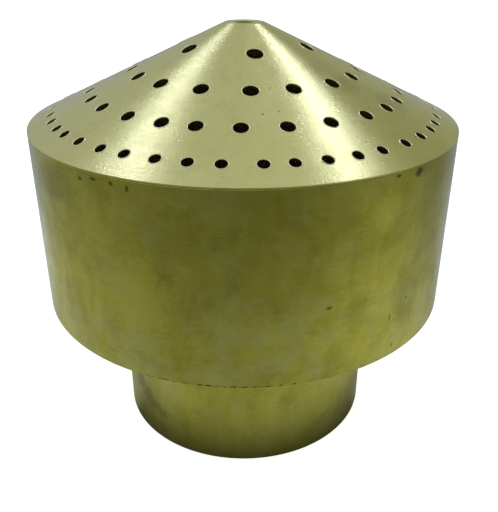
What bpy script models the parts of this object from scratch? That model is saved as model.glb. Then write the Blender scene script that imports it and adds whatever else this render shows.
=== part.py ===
"""Brass multi-jet fountain nozzle.

A drilled cone cap screws into the top of a wide drum, which stands on a narrower inlet neck with a
threaded socket. Inside, a drilled plate on three pillars spreads the flow, and a cross of two slotted
vanes straightens it in the neck.

Units are metres with +Z up along the nozzle's axis, and the origin is at the centre of the neck's
lower end. The dimensions below are millimetres, and MM turns them into metres.
"""

import math
import random

import bmesh
import bpy
from mathutils import Matrix, Vector

MM = 0.001
SEGMENTS = 64
SMALL_SEGMENTS = 16
DRILL_SIDES = 8
SHARP_ANGLE = math.radians(20)
CLEARANCE = 0.3

# Outside of the nozzle
RIM_RADIUS = 52.0
NECK_RADIUS = 33.6
DRUM_BOTTOM = 37.4
RIM_HEIGHT = 81.8
TIP_HEIGHT = 104.0
TIP_RADIUS = 4.8

# Cone cap
CONE_WALL = 4.0
TIP_CEILING = 99.5
CAP_LAND = 0.4
SKIRT_RADIUS = 48.8
SKIRT_BORE = 46.4
SKIRT_END = 69.5
SEAL_GROOVE_RADIUS = 47.45
SEAL_GROOVE_WIDTH = 1.8
SEAL_HEIGHT = 71.9
SEAL_RADIUS = 48.35
SEAL_SECTION = 0.6

# Drilled rings of the cone: radius on the outer surface, count, drill diameter, angle of the first
# hole, and the spread and seed of the small spacing errors that marking out by hand leaves
TIP_HOLE = 4.5
CONE_RINGS = [
    (15.25, 6, 3.8, 8.3, 4.0, 1008),
    (26.9, 17, 3.5, 1.4, 1.5, 50191),
    (37.3, 26, 3.2, 0.2, 1.5, 14048),
    (46.5, 44, 2.5, -4.3, 1.5, 10951),
]
FRONT = -90.0

# Drum
SHELL_BORE = 47.0
SHELL_TOP_GAP = 0.4
CAP_SEAT = 69.0
CAP_BORE = 49.2
PLATE_BORE = 49.0
PLATE_BOTTOM = 39.3
PLATE_TOP = 44.3
PLATE_HOLE = 31.3
BRAZE_LEG = 1.5

# Inlet neck
NECK_SHOULDER = 39.0
SPIGOT_RADIUS = 31.0
SPIGOT_TOP = 49.2
THREAD_BORE = 28.3
THREAD_END = 24.2
MOUTH_CHAMFER = 1.0
GASKET_SEAT = 28.0
GASKET_GROOVE = 30.1
THROAT_RADIUS = 22.5
SLEEVE_SEAT = 31.2
SLEEVE_BORE = 24.5
RING_GROOVE = 25.6
RING_GROOVE_BOTTOM = 46.2
RING_GROOVE_TOP = 47.6

# Flow straightener
SLEEVE_OUTER = 24.2
SLEEVE_INNER = 23.0
SLEEVE_TOP = 46.1
RING_OUTER = 25.3
RING_INNER = 23.4
RING_OPENING = 7.0
VANE_THICKNESS = 1.0
VANE_HALF_WIDTH = 22.6
VANE_BOTTOM = 32.0
VANE_TOP = 45.5
VANE_SLOT_MIDDLE = 38.75

# Distributor plate and its fixings
DISC_RADIUS = 45.5
DISC_BOTTOM = 56.0
DISC_TOP = 58.5
DISC_RINGS = [(7.5, 5), (15.5, 10), (23.5, 15), (31.5, 20)]
DISC_DRILL = 5.0
PILLAR_COUNT = 3
PILLAR_CIRCLE = 39.5
PILLAR_ACROSS_FLATS = 6.0
TAPPING_RADIUS = 2.1
SHANK_RADIUS = 1.8
PILLAR_SOCKET = 3.0
PILLAR_TAPPING = 8.2
SCREW_REACH = 7.5
WASHER_RADIUS = 4.2
WASHER_THICKNESS = 0.8
HEAD_RADIUS = 3.4
HEAD_HEIGHT = 2.4
SCREW_SLOT = 0.9

# Inlet gasket
GASKET_OUTER = 29.7
GASKET_INNER = 24.9
GASKET_THICKNESS = 2.7

# Finish: colour, roughness, metallic
CAP_BRASS = ((0.56, 0.50, 0.27), 0.30, 1.0)
AGED_BRASS = ((0.36, 0.30, 0.09), 0.34, 1.0)
PLATE_BRASS = ((0.50, 0.40, 0.16), 0.38, 1.0)
FILLER = ((0.52, 0.42, 0.22), 0.45, 1.0)
STAINLESS = ((0.62, 0.62, 0.60), 0.28, 1.0)
SEAL_RUBBER = ((0.02, 0.02, 0.022), 0.60, 0.0)
GASKET_RUBBER = ((0.045, 0.045, 0.05), 0.70, 0.0)

CONE_SLOPE = (TIP_HEIGHT - RIM_HEIGHT) / (RIM_RADIUS - TIP_RADIUS)
CONE_ANGLE = math.atan(CONE_SLOPE)


def clear_scene():
    for item in list(bpy.data.objects):
        bpy.data.objects.remove(item, do_unlink=True)


def new_collection(name):
    group = bpy.data.collections.new(name)
    bpy.context.scene.collection.children.link(group)
    return group


def set_finish(part, finish):
    """Give a part its own Principled material."""
    colour, roughness, metallic = finish
    material = bpy.data.materials.new(part.name + "_finish")
    material.use_nodes = True
    shader = material.node_tree.nodes["Principled BSDF"]
    shader.inputs["Base Color"].default_value = (*colour, 1.0)
    shader.inputs["Roughness"].default_value = roughness
    shader.inputs["Metallic"].default_value = metallic
    material.diffuse_color = (*colour, 1.0)
    part.data.materials.clear()
    part.data.materials.append(material)


def add_object(name, mesh, group):
    item = bpy.data.objects.new(name, mesh)
    group.objects.link(item)
    return item


def turned(name, profile, group, segments=SEGMENTS):
    """Revolve (radius, height) points about Z.

    The points run down the outer side and back up the inner side. A profile that starts and ends on
    the axis stays open there, and any other closes on itself.
    """
    points = [(radius * MM, 0.0, height * MM) for radius, height in profile]
    edges = [(i, i + 1) for i in range(len(points) - 1)]
    if profile[-1][0] > 0.0:
        edges.append((len(points) - 1, 0))
    mesh = bpy.data.meshes.new(name)
    mesh.from_pydata(points, edges, [])
    part = add_object(name, mesh, group)
    screw = part.modifiers.new("Turn", "SCREW")
    screw.axis = "Z"
    screw.steps = segments
    screw.render_steps = segments
    screw.use_merge_vertices = True
    screw.merge_threshold = 0.00001
    return part


def rod_matrix(radius, height, azimuth, tilt=0.0):
    """Place a rod whose axis leans outwards from Z by tilt, at an angle round the nozzle."""
    place = Matrix.Translation(Vector((radius, 0.0, height)) * MM)
    return Matrix.Rotation(azimuth, 4, "Z") @ place @ Matrix.Rotation(tilt, 4, "Y")


def rods(name, group, items, sides):
    """One mesh of separate rods, each given as (matrix, diameter, length)."""
    form = bmesh.new()
    for matrix, diameter, length in items:
        bmesh.ops.create_cone(form, cap_ends=True, segments=sides, radius1=diameter / 2 * MM,
                              radius2=diameter / 2 * MM, depth=length * MM, matrix=matrix)
    mesh = bpy.data.meshes.new(name)
    form.to_mesh(mesh)
    form.free()
    return add_object(name, mesh, group)


def block(name, group, size, centre):
    form = bmesh.new()
    matrix = Matrix.Translation(Vector(centre) * MM) @ Matrix.Diagonal((*[s * MM for s in size], 1.0))
    bmesh.ops.create_cube(form, size=1.0, matrix=matrix)
    mesh = bpy.data.meshes.new(name)
    form.to_mesh(mesh)
    form.free()
    return add_object(name, mesh, group)


def combine(part, other, operation):
    """Cut a part with a hidden cutter, or join a hidden solid to it."""
    other.hide_render = True
    other.display_type = "WIRE"
    boolean = part.modifiers.new(other.name, "BOOLEAN")
    boolean.operation = operation
    boolean.solver = "EXACT"
    boolean.object = other


def bake(part):
    """Apply the modifiers and shade the round faces smooth."""
    graph = bpy.context.evaluated_depsgraph_get()
    mesh = bpy.data.meshes.new_from_object(part.evaluated_get(graph))
    part.modifiers.clear()
    part.data = mesh
    mesh.name = part.name
    mesh.shade_smooth()
    mesh.set_sharp_from_angle(angle=SHARP_ANGLE)
    return part


def cone_height(radius):
    return TIP_HEIGHT - CONE_SLOPE * (radius - TIP_RADIUS)


def inner_cone_height(radius):
    return cone_height(radius) - CONE_WALL / math.cos(CONE_ANGLE)


def inner_cone_radius(height):
    return TIP_RADIUS + (TIP_HEIGHT - CONE_WALL / math.cos(CONE_ANGLE) - height) / CONE_SLOPE


def cone_drills():
    """The drills of all rings, square to the cone's surface."""
    items = []
    for radius, count, diameter, first, spread, seed in CONE_RINGS:
        marking = random.Random(seed)
        for index in range(count):
            error = marking.uniform(-spread, spread)
            azimuth = math.radians(FRONT + first + 360.0 * index / count + error)
            middle = radius - CONE_WALL / 2 * math.sin(CONE_ANGLE)
            height = cone_height(radius) - CONE_WALL / 2 * math.cos(CONE_ANGLE)
            items.append((rod_matrix(middle, height, azimuth, CONE_ANGLE), diameter, CONE_WALL + 2.0))
    return items


def make_cone_cap(group, cutters):
    land = RIM_HEIGHT - CAP_LAND
    groove_top = SEAL_HEIGHT + SEAL_GROOVE_WIDTH / 2
    groove_bottom = SEAL_HEIGHT - SEAL_GROOVE_WIDTH / 2
    part = turned("cone_cap", [
        (TIP_HOLE / 2, TIP_HEIGHT),
        (TIP_RADIUS, TIP_HEIGHT),
        (RIM_RADIUS, RIM_HEIGHT),
        (RIM_RADIUS, land),
        (SKIRT_RADIUS, land),
        (SKIRT_RADIUS, groove_top),
        (SEAL_GROOVE_RADIUS, groove_top),
        (SEAL_GROOVE_RADIUS, groove_bottom),
        (SKIRT_RADIUS, groove_bottom),
        (SKIRT_RADIUS, SKIRT_END),
        (SKIRT_BORE, SKIRT_END),
        (SKIRT_BORE, inner_cone_height(SKIRT_BORE)),
        (inner_cone_radius(TIP_CEILING), TIP_CEILING),
        (TIP_HOLE / 2, TIP_CEILING),
    ], group)
    combine(part, rods("cone_drills", cutters, cone_drills(), DRILL_SIDES), "DIFFERENCE")
    return bake(part)


def make_cap_o_ring(group):
    sides = 6
    section = [
        (SEAL_RADIUS + SEAL_SECTION * math.cos(angle), SEAL_HEIGHT - SEAL_SECTION * math.sin(angle))
        for angle in (math.tau * (i + 0.5) / sides for i in range(sides))
    ]
    return bake(turned("cap_o_ring", section, group))


def make_drum_shell(group):
    top = RIM_HEIGHT - CAP_LAND - SHELL_TOP_GAP
    ledge = PLATE_TOP + CLEARANCE
    return bake(turned("drum_shell", [
        (RIM_RADIUS, top),
        (RIM_RADIUS, DRUM_BOTTOM),
        (PLATE_BORE, DRUM_BOTTOM),
        (PLATE_BORE, ledge),
        (SHELL_BORE, ledge),
        (SHELL_BORE, CAP_SEAT),
        (CAP_BORE, CAP_SEAT),
        (CAP_BORE, top),
    ], group))


def pillar_azimuths():
    return [math.radians(90.0 + 360.0 * index / PILLAR_COUNT) for index in range(PILLAR_COUNT)]


def make_base_plate(group, cutters):
    edge = PLATE_BORE - CLEARANCE
    part = turned("base_plate", [
        (edge, PLATE_TOP),
        (edge, PLATE_BOTTOM),
        (PLATE_HOLE, PLATE_BOTTOM),
        (PLATE_HOLE, PLATE_TOP),
    ], group)
    sockets = [(rod_matrix(PILLAR_CIRCLE, PLATE_TOP, azimuth), 2 * TAPPING_RADIUS, 2 * PILLAR_SOCKET)
               for azimuth in pillar_azimuths()]
    combine(part, rods("pillar_sockets", cutters, sockets, SMALL_SEGMENTS), "DIFFERENCE")
    return bake(part)


def make_braze_rings(group):
    top = PLATE_BOTTOM - CLEARANCE
    outer = PLATE_BORE - CLEARANCE
    inner = NECK_RADIUS + CLEARANCE
    drum_ring = turned("drum_braze_ring", [
        (outer, top), (outer, top - BRAZE_LEG), (outer - BRAZE_LEG, top)], group)
    neck_ring = turned("neck_braze_ring", [
        (inner + BRAZE_LEG, top), (inner, top - BRAZE_LEG), (inner, top)], group)
    return bake(drum_ring), bake(neck_ring)


def make_inlet_neck(group):
    return bake(turned("inlet_neck", [
        (SPIGOT_RADIUS, SPIGOT_TOP),
        (SPIGOT_RADIUS, NECK_SHOULDER),
        (NECK_RADIUS, NECK_SHOULDER),
        (NECK_RADIUS, 0.0),
        (THREAD_BORE + MOUTH_CHAMFER, 0.0),
        (THREAD_BORE, MOUTH_CHAMFER),
        (THREAD_BORE, THREAD_END),
        (GASKET_GROOVE, THREAD_END),
        (GASKET_GROOVE, GASKET_SEAT),
        (THROAT_RADIUS, GASKET_SEAT),
        (THROAT_RADIUS, SLEEVE_SEAT),
        (SLEEVE_BORE, SLEEVE_SEAT),
        (SLEEVE_BORE, RING_GROOVE_BOTTOM),
        (RING_GROOVE, RING_GROOVE_BOTTOM),
        (RING_GROOVE, RING_GROOVE_TOP),
        (SLEEVE_BORE, RING_GROOVE_TOP),
        (SLEEVE_BORE, SPIGOT_TOP),
    ], group))


def make_inlet_gasket(group):
    top = GASKET_SEAT - CLEARANCE
    bottom = top - GASKET_THICKNESS
    return bake(turned("inlet_gasket", [
        (GASKET_OUTER, top), (GASKET_OUTER, bottom), (GASKET_INNER, bottom), (GASKET_INNER, top)], group))


def make_straightener(group, cutters):
    """The sleeve, the two vanes slotted into each other, and the snap ring above them."""
    bottom = SLEEVE_SEAT + CLEARANCE
    sleeve = turned("straightener_sleeve", [
        (SLEEVE_OUTER, SLEEVE_TOP), (SLEEVE_OUTER, bottom),
        (SLEEVE_INNER, bottom), (SLEEVE_INNER, SLEEVE_TOP)], group)
    bake(sleeve)

    vanes = []
    slot = VANE_THICKNESS + 2 * CLEARANCE
    height = VANE_TOP - VANE_BOTTOM
    for index, slot_side in enumerate((1, -1)):
        number = str(index + 1)
        vane = block("straightener_vane_" + number, group,
                     (2 * VANE_HALF_WIDTH, VANE_THICKNESS, height),
                     (0.0, 0.0, (VANE_TOP + VANE_BOTTOM) / 2))
        slot_edge = VANE_SLOT_MIDDLE - slot_side * CLEARANCE / 2
        cutter = block("vane_slot_" + number, cutters, (slot, 3 * VANE_THICKNESS, height),
                       (0.0, 0.0, slot_edge + slot_side * height / 2))
        combine(vane, cutter, "DIFFERENCE")
        vanes.append(bake(vane))
    vanes[1].rotation_euler.z = math.pi / 2

    ring_bottom = RING_GROOVE_BOTTOM + CLEARANCE
    ring_top = RING_GROOVE_TOP - CLEARANCE
    ring = turned("sleeve_retaining_ring", [
        (RING_OUTER, ring_top), (RING_OUTER, ring_bottom),
        (RING_INNER, ring_bottom), (RING_INNER, ring_top)], group)
    opening = block("ring_opening", cutters, (RING_OPENING, 2 * RING_OPENING, RING_OPENING),
                    (0.0, RING_OUTER, (ring_top + ring_bottom) / 2))
    combine(ring, opening, "DIFFERENCE")
    return sleeve, vanes, bake(ring)


def make_distributor_plate(group, cutters):
    part = turned("distributor_plate", [
        (0.0, DISC_TOP), (DISC_RADIUS, DISC_TOP), (DISC_RADIUS, DISC_BOTTOM), (0.0, DISC_BOTTOM)], group)
    middle = (DISC_TOP + DISC_BOTTOM) / 2
    length = DISC_TOP - DISC_BOTTOM + 2.0
    items = [(rod_matrix(radius, middle, math.tau * (index + 0.5) / count), DISC_DRILL, length)
             for radius, count in DISC_RINGS for index in range(count)]
    items += [(rod_matrix(PILLAR_CIRCLE, middle, azimuth), 2 * TAPPING_RADIUS, length)
              for azimuth in pillar_azimuths()]
    combine(part, rods("distributor_drills", cutters, items, DRILL_SIDES), "DIFFERENCE")
    return bake(part)


def make_standoff(name, group, cutters):
    """A hexagonal pillar on z = 0, with a spigot below it and a tapped hole in its top."""
    height = DISC_BOTTOM - PLATE_TOP - 2 * CLEARANCE
    across_corners = PILLAR_ACROSS_FLATS / math.cos(math.pi / 6)
    spigot = PILLAR_SOCKET - CLEARANCE
    part = rods(name, group, [(Matrix.Translation((0, 0, height / 2 * MM)), across_corners, height)], 6)
    foot = rods(name + "_spigot", cutters,
                [(Matrix.Identity(4), 2 * SHANK_RADIUS, 2 * spigot)], SMALL_SEGMENTS)
    bore = rods(name + "_bore", cutters,
                [(Matrix.Translation((0, 0, height * MM)), 2 * TAPPING_RADIUS, 2 * PILLAR_TAPPING)],
                SMALL_SEGMENTS)
    combine(part, foot, "UNION")
    combine(part, bore, "DIFFERENCE")
    return bake(part)


def make_screw(name, group, cutters):
    """A slotted pan head screw whose head rests on z = 0."""
    reach = SCREW_REACH + WASHER_THICKNESS + (DISC_TOP - DISC_BOTTOM) + 3 * CLEARANCE
    crown = [(HEAD_RADIUS * math.sin(angle), HEAD_HEIGHT * (0.55 + 0.45 * math.cos(angle)))
             for angle in (math.radians(30 * step) for step in range(4))]
    part = turned(name, crown + [
        (HEAD_RADIUS, 0.0),
        (SHANK_RADIUS, 0.0),
        (SHANK_RADIUS, -reach + 0.5),
        (SHANK_RADIUS - 0.5, -reach),
        (0.0, -reach),
    ], group, SMALL_SEGMENTS)
    slot = block(name + "_slot", cutters, (3 * HEAD_RADIUS, SCREW_SLOT, HEAD_HEIGHT),
                 (0.0, 0.0, HEAD_HEIGHT))
    combine(part, slot, "DIFFERENCE")
    return bake(part)


def make_washer(name, group):
    return bake(turned(name, [
        (WASHER_RADIUS, WASHER_THICKNESS), (WASHER_RADIUS, 0.0),
        (TAPPING_RADIUS, 0.0), (TAPPING_RADIUS, WASHER_THICKNESS)], group, SMALL_SEGMENTS))


def make_fixings(group, cutters):
    """Pillars, screws and washers, three of each, at equal angles."""
    washer_level = DISC_TOP + CLEARANCE
    levels = [
        (PLATE_TOP + CLEARANCE, make_standoff("standoff_1", group, cutters), PLATE_BRASS),
        (washer_level, make_washer("screw_washer_1", group), STAINLESS),
        (washer_level + WASHER_THICKNESS + CLEARANCE,
         make_screw("distributor_screw_1", group, cutters), STAINLESS),
    ]
    for level, first, finish in levels:
        stem = first.name[:-1]
        for index, azimuth in enumerate(pillar_azimuths()):
            part = first
            if index > 0:
                part = add_object(stem + str(index + 1), first.data.copy(), group)
            place = Vector((PILLAR_CIRCLE * math.cos(azimuth), PILLAR_CIRCLE * math.sin(azimuth), level))
            part.location = place * MM
            part.rotation_euler.z = azimuth
            set_finish(part, finish)


def main():
    clear_scene()
    nozzle = new_collection("fountain_nozzle")
    cutters = new_collection("cutters")
    cap_axis = add_object("cap_axis", None, nozzle)

    cap = make_cone_cap(nozzle, cutters)
    cap.parent = cap_axis
    set_finish(cap, CAP_BRASS)
    seal = make_cap_o_ring(nozzle)
    seal.parent = cap_axis
    set_finish(seal, SEAL_RUBBER)

    set_finish(make_drum_shell(nozzle), AGED_BRASS)
    set_finish(make_base_plate(nozzle, cutters), PLATE_BRASS)
    for ring in make_braze_rings(nozzle):
        set_finish(ring, FILLER)
    set_finish(make_inlet_neck(nozzle), AGED_BRASS)
    set_finish(make_inlet_gasket(nozzle), GASKET_RUBBER)

    sleeve, vanes, ring = make_straightener(nozzle, cutters)
    set_finish(sleeve, PLATE_BRASS)
    for vane in vanes:
        set_finish(vane, PLATE_BRASS)
    set_finish(ring, STAINLESS)

    set_finish(make_distributor_plate(nozzle, cutters), PLATE_BRASS)
    make_fixings(nozzle, cutters)


main()
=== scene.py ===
"""The looks of the brass multi-jet fountain nozzle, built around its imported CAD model.

Every piece is turned, drilled or milled again as a fine mesh in the place that its CAD node holds, with
small edge rounds, real screw threads and procedural brass, steel and rubber. Lengths are millimetres
until the mesh helpers turn them into metres.
"""

import math
import random

import bmesh
import bpy
import numpy as np
from mathutils import Matrix, Vector


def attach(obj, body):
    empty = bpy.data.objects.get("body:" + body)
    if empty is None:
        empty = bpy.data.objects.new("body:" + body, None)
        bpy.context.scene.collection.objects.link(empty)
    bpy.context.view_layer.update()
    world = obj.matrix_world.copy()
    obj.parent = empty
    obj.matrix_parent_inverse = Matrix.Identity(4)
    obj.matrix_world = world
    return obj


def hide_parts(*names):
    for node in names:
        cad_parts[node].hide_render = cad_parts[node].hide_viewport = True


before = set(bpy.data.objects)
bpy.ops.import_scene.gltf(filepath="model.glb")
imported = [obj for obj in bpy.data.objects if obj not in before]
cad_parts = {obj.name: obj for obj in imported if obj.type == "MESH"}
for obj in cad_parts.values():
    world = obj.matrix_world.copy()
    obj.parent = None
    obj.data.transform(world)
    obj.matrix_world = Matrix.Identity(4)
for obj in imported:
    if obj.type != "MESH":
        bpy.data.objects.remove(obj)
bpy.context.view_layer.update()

# A millimetre in metres, the azimuth of the front in degrees, and how near two equal lengths are
MM = 0.001
FRONT = -90.0
SAME = 1e-6

# Segments round the large, the middling and the small turned pieces, and round drilled holes
FINE = 288
MEDIUM = 160
SMALL = 48
DRILL_SIDES = 28
PLATE_DRILL_SIDES = 24
THREAD_ROWS_PER_TURN = 14

# Outline of the casing and the cap
RIM_RADIUS = 52.0
RIM_HEIGHT = 81.8
TIP_HEIGHT = 104.0
TIP_RADIUS = 4.8
TIP_HOLE = 4.5
TIP_CEILING = 99.5
CONE_WALL = 4.0
SEAM_HEIGHT = 81.42
SEAM_GAP = 0.06
DRUM_BOTTOM = 37.4
NECK_RADIUS = 33.6
EDGE_ROUND = 0.12

# Inside the drum: the pillars, the distributor plate with its rings of holes as (radius, count), and
# the levels that its washers and screw heads rest on
PILLAR_FOOT = 44.6
PILLAR_CIRCLE = 39.5
PILLAR_COUNT = 3
PLATE_BOTTOM = 56.0
PLATE_TOP = 58.5
PLATE_RINGS = [(7.5, 5), (15.5, 10), (23.5, 15), (31.5, 20)]
WASHER_FOOT = 58.8
SCREW_SEAT = 59.9

# Drilled rings of the cone: radius on the outer surface, count, drill diameter, angle of the first
# hole, and the spread and seed of the small spacing errors, as in the CAD model
CONE_RINGS = [
    (15.25, 6, 3.8, 8.3, 4.0, 1008),
    (26.9, 17, 3.5, 1.4, 1.5, 50191),
    (37.3, 26, 3.2, 0.2, 1.5, 14048),
    (46.5, 44, 2.5, -4.3, 1.5, 10951),
]
DRILL_CHAMFER = 0.05
LIP_WIDTH = 0.26
LIP_RISE = 0.09

# Screw threads: pitch, depth, root or crest radius, and where they run
CAP_PITCH = 2.0
CAP_THREAD_DEPTH = 0.75
CAP_THREAD_ROOT = 48.9
CAP_THREAD = (73.4, 80.9)
DRUM_THREAD_ROOT = 49.2
PIPE_PITCH = 2.309
PIPE_THREAD_DEPTH = 1.45
PIPE_CREST = 28.3
PIPE_THREAD = (0.6, 24.2)
SCREW_PITCH = 0.7
SCREW_THREAD_DEPTH = 0.35
SCREW_ROOT = 1.45
SCREW_THREAD = (-11.0, -0.8)

# Light: lamps as (name, direction, azimuth of the cone's streak that it makes, width and length,
# radiance), each turned so that its length makes that streak longer and not wider
LAMP_DISTANCE = 1.4
WINDOWS = [
    ("window_left", (-0.391, 0.496, 0.776), -30.0, (0.21, 0.50), 2.4),
    ("window_right", (0.349, 0.513, 0.787), 27.5, (0.13, 0.50), 5.2),
    ("window_inner", (0.15, 0.53, 0.83), 15.0, (0.30, 0.40), 0.25),
]
WINDOW_COLOUR = (1.0, 1.0, 1.6)

# The room: its light at the horizon and overhead, what the zenith adds, the colour of its right side,
# and the direction of a duller patch
HORIZON_LIGHT = 0.36
OVERHEAD_LIGHT = 0.45
ZENITH_LIGHT = 0.16
WARM_SIDE = (1.06, 1.06, 0.78)
DULL_PATCH = (0.493, 0.654, 0.574)

# The stage in metres and its light: the table that the brass mirrors, with its colour behind the
# nozzle, and the floor and backdrop that the camera sees
TABLE_GLOW = 0.47
TABLE_BEHIND = (0.88, 0.97, 1.5)
FLOOR_GLOW = 0.85
STAGE_RADIUS = 3.0
BACKDROP_RADIUS = 6.0

CONE_SLOPE = (TIP_HEIGHT - RIM_HEIGHT) / (RIM_RADIUS - TIP_RADIUS)
CONE_ANGLE = math.atan(CONE_SLOPE)


# ---------------------------------------------------------------- meshes

def rounded(outline, radius, closed=True):
    """Round every corner of an outline, and return (radius, height) points with their normals."""
    points = [np.array(point, float) for point in outline]
    count = len(points)
    result = []
    smallest_turn, wide_turn, longest_share = 0.02, 0.6, 0.45
    for index, corner in enumerate(points):
        if not closed and index in (0, count - 1):
            towards = points[1] - corner if index == 0 else corner - points[-2]
            result.append((corner, side_normal(towards)))
            continue
        back = corner - points[index - 1]
        ahead = points[(index + 1) % count] - corner
        back_length, ahead_length = np.linalg.norm(back), np.linalg.norm(ahead)
        back, ahead = back / back_length, ahead / ahead_length
        turn = math.acos(max(-1.0, min(1.0, float(back @ ahead))))
        if turn < smallest_turn:
            result.append((corner, side_normal(back)))
            continue
        reach = min(radius * math.tan(turn / 2), longest_share * back_length,
                    longest_share * ahead_length)
        steps = 4 if turn > wide_turn else 2
        first, last = side_normal(back), side_normal(ahead)
        start, end = corner - back * reach, corner + ahead * reach
        bulge = reach / math.tan(turn / 2)
        outward = 1.0 if back[0] * ahead[1] - back[1] * ahead[0] < 0 else -1.0
        centre = start - first * bulge * outward
        for step in range(steps + 1):
            angle = turn * step / steps
            normal = (first * math.sin(turn - angle) + last * math.sin(angle)) / math.sin(turn)
            normal /= np.linalg.norm(normal)
            place = centre + normal * bulge * outward
            result.append((end if step == steps else place, normal))
    return result


def side_normal(direction):
    """The outward normal of an outline that runs down its outer side."""
    across = np.array([-direction[1], direction[0]])
    return across / np.linalg.norm(across)


def build_mesh(name, vertices, faces, normals=None):
    mesh = bpy.data.meshes.new(name)
    mesh.from_pydata([tuple(v) for v in vertices], [], faces)
    mesh.validate()
    mesh.shade_smooth()
    if normals is not None:
        mesh.normals_split_custom_set_from_vertices([tuple(n) for n in normals])
    return mesh


def add_piece(name, mesh):
    piece = bpy.data.objects.new(name, mesh)
    bpy.context.scene.collection.objects.link(piece)
    return piece


def thread_height(z, angle, pitch, zone, fade):
    """Height of a right-hand thread, from 0 at its root to 1 at its crest, and faded at its ends."""
    steepness = 1.7
    phase = (z / pitch - angle / math.tau) % 1.0
    wave = np.clip((1.0 - 4.0 * abs(phase - 0.5)) * steepness, -1.0, 1.0)
    ends = min(1.0, max(0.0, (z - zone[0]) / fade)) * min(1.0, max(0.0, (zone[1] - z) / fade))
    return 0.5 + 0.5 * (1.5 * wave - 0.5 * wave ** 3), ends


def thread_shape(root, depth, pitch, zone, fade, end_level=0.0):
    """A shape for lathe that raises a thread on the rows at one radius, and fades it to a level."""
    def shape(radius, height, angle):
        if abs(radius - root) > SAME:
            return radius
        rise, ends = thread_height(height, angle, pitch, zone, fade)
        return radius + depth * (end_level + (rise - end_level) * ends)
    return shape


def threaded_rows(rising, base, zone, pitch):
    """Rows that fill an upright stretch of an outline, which rises up a bore or falls down a side."""
    low, high = zone
    count = max(2, round((high - low) / pitch * THREAD_ROWS_PER_TURN))
    heights = [low + (high - low) * index / count for index in range(count + 1)]
    normal = np.array([-1.0 if rising else 1.0, 0.0])
    return [(np.array([base, height]), normal) for height in (heights if rising else heights[::-1])]


def lathe(name, rows, segments, closed=True, shape=None):
    """Turn rows of (radius, height) points with normals about Z.

    shape(radius, height, angle) may move a point along its radius, and the normal follows it.
    """
    vertices, normals = [], []
    step = 1e-3
    for point, normal in rows:
        radius, height = point
        for index in range(segments):
            angle = math.tau * index / segments
            r, n_r, n_a, n_z = radius, normal[0], 0.0, normal[1]
            if shape is not None:
                r = shape(radius, height, angle)
                if r != radius or abs(n_z) < SAME:
                    slope_z = shape(radius, height + step, angle) - shape(radius, height - step, angle)
                    slope_a = shape(radius, height, angle + step) - shape(radius, height, angle - step)
                    side = 1.0 if n_r >= 0 else -1.0
                    n_r, n_a = side, -side * slope_a / (2 * step) / r
                    n_z -= side * slope_z / (2 * step)
            c, s = math.cos(angle), math.sin(angle)
            vertices.append((r * c * MM, r * s * MM, height * MM))
            length = math.sqrt(n_r * n_r + n_a * n_a + n_z * n_z)
            normals.append(((n_r * c - n_a * s) / length, (n_r * s + n_a * c) / length, n_z / length))
    faces = []
    last = len(rows) if closed else len(rows) - 1
    for row in range(last):
        here, below = row * segments, (row + 1) % len(rows) * segments
        for index in range(segments):
            after = (index + 1) % segments
            faces.append((here + index, below + index, below + after, here + after))
    if not closed:
        for row, order in ((0, 1), (len(rows) - 1, -1)):
            ring = [row * segments + index for index in range(segments)]
            centre = len(vertices)
            vertices.append((0.0, 0.0, rows[row][0][1] * MM))
            normals.append((0.0, 0.0, float(order)))
            for index in range(segments):
                pair = (ring[index], ring[(index + 1) % segments])
                faces.append((centre, *pair[::order]))
    return build_mesh(name, vertices, faces, normals)


def turned(name, outline, radius=EDGE_ROUND, segments=FINE):
    """A piece turned from a closed outline, given down its outer side and back up its bore."""
    return add_piece(name, lathe(name, rounded(outline, radius), segments))


def rod_matrix(radius, height, azimuth, tilt=0.0):
    """The place of a rod that points up and outward at a distance from the axis."""
    place = Matrix.Translation(Vector((radius, 0.0, height)) * MM)
    return Matrix.Rotation(azimuth, 4, "Z") @ place @ Matrix.Rotation(tilt, 4, "Y")


def solid_of_rods(name, items, sides):
    """One mesh of separate turned rods, each given as (matrix, outline of (radius, height))."""
    form = bmesh.new()
    for matrix, outline in items:
        rings = []
        for radius, height in outline:
            rings.append([form.verts.new(matrix @ Vector((
                radius * math.cos(math.tau * (i + 0.5) / sides) * MM,
                radius * math.sin(math.tau * (i + 0.5) / sides) * MM,
                height * MM))) for i in range(sides)])
        for upper, lower in zip(rings, rings[1:]):
            for i in range(sides):
                j = (i + 1) % sides
                form.faces.new((upper[i], lower[i], lower[j], upper[j]))
        form.faces.new(rings[0])
        form.faces.new(rings[-1][::-1])
    mesh = bpy.data.meshes.new(name)
    form.to_mesh(mesh)
    form.free()
    return add_piece(name, mesh)


def apply_modifiers(piece):
    graph = bpy.context.evaluated_depsgraph_get()
    mesh = bpy.data.meshes.new_from_object(piece.evaluated_get(graph))
    piece.modifiers.clear()
    piece.data = mesh


def combine(piece, other, operation, material_mode="INDEX"):
    """Combine a piece with another mesh, which is used up."""
    boolean = piece.modifiers.new("Combine", "BOOLEAN")
    boolean.operation = operation
    boolean.solver = "EXACT"
    boolean.material_mode = material_mode
    boolean.object = other
    apply_modifiers(piece)
    bpy.data.objects.remove(other, do_unlink=True)


def cut(piece, cutter):
    """Cut a piece, with the cutter's faces taking the piece's second material slot."""
    combine(piece, cutter, "DIFFERENCE", "TRANSFER")


def flatten_shading(piece):
    """Smooth shading that stays true on large flat faces beside small rounded edges."""
    custom = piece.data.attributes.get("custom_normal")
    if custom is not None:
        piece.data.attributes.remove(custom)
    piece.data.shade_smooth()
    piece.data.set_sharp_from_angle(angle=math.radians(25))
    weighted = piece.modifiers.new("Weighted", "WEIGHTED_NORMAL")
    weighted.keep_sharp = True
    apply_modifiers(piece)


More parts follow.
